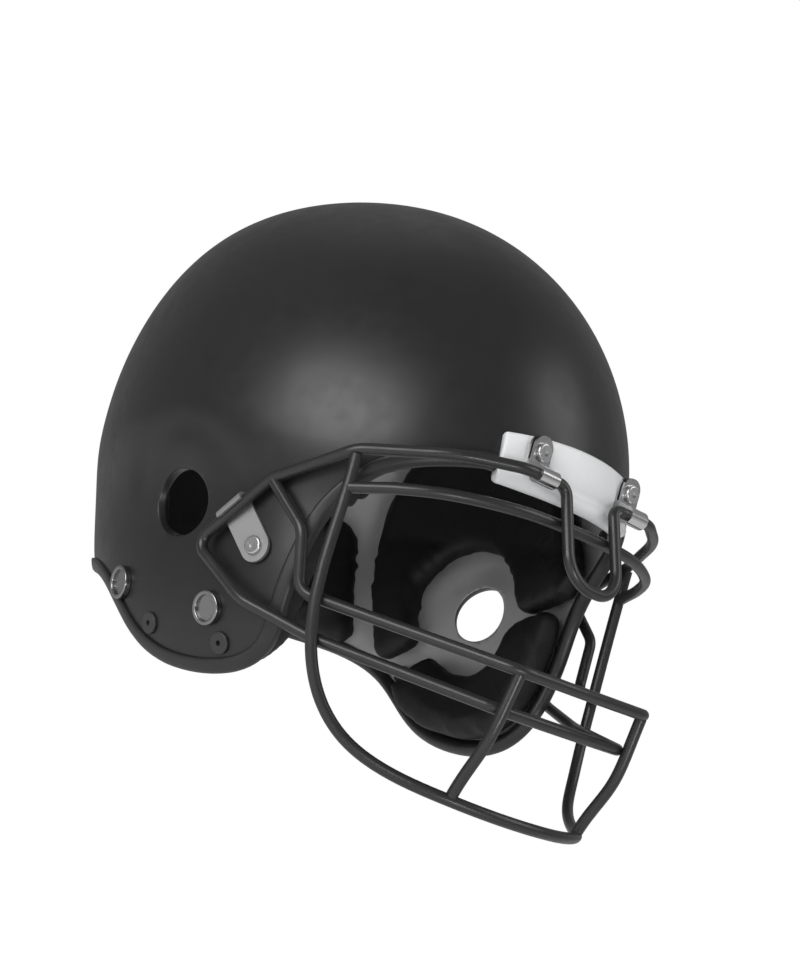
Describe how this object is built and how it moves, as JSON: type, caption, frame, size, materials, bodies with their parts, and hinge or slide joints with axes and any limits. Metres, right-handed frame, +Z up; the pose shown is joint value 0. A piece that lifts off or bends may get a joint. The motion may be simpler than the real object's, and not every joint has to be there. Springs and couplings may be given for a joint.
{
  "type": "american football helmet",
  "caption": "American football helmet: moulded shell with padded lining, brow bumper, snap studs and a welded wire face mask that swings up on its brow clips.",
  "frame": {"origin": "midway between the centres of the two ear holes", "axes": "+Z up through the crown, front towards -Y, the wearer's left side at +X"},
  "size_m": [0.237, 0.3392, 0.2882],
  "materials": {
    "shell_plastic": "charcoal moulded polycarbonate with a soft satin surface",
    "bumper_vinyl": "white moulded vinyl, semi-gloss",
    "trim_rubber": "black rubber bead, satin",
    "wire_coating": "dark grey vinyl-coated steel wire, satin",
    "clip_chrome": "bright chrome-plated steel",
    "clip_steel": "satin nickel-plated steel",
    "screw_steel": "plated steel",
    "stud_nickel": "bright nickel-plated",
    "black_hardware": "black moulded nylon",
    "pad_cover": "black soft vinyl-coated cloth over foam"
  },
  "bodies": {
    "helmet": {"shell": "shell_plastic", "front_bumper": "bumper_vinyl", "edge_trim": "trim_rubber", "brow_clip_left": "clip_chrome", "brow_clip_right": "clip_chrome", "brow_clip_screws": "screw_steel", "brow_clip_nuts": "screw_steel", "side_clip_left": "clip_steel", "side_clip_right": "clip_steel", "side_clip_screws": "screw_steel", "side_clip_nuts": "screw_steel", "snap_studs": "stud_nickel", "stud_nuts": "screw_steel", "flap_rivets": "black_hardware", "inner_plugs": "black_hardware", "crown_pad": "pad_cover", "front_pad": "pad_cover", "back_pad": "pad_cover", "side_pad_left": "pad_cover", "side_pad_right": "pad_cover", "jaw_pad_left": "pad_cover", "jaw_pad_right": "pad_cover"},
    "face_mask": {"mask_top_rail": "wire_coating", "mask_eye_bar": "wire_coating", "mask_mouth_bar": "wire_coating", "mask_jaw_bar": "wire_coating", "mask_chin_loop": "wire_coating", "mask_upright_left": "wire_coating", "mask_upright_right": "wire_coating"}
  },
  "joints": [
    {"name": "face_mask_swing", "type": "hinge", "parent": "helmet", "child": "face_mask", "pos_m": [0, -0.1495, 0.0477], "axis": [-1, 0, 0], "range_deg": [0, 100]}
  ]
}
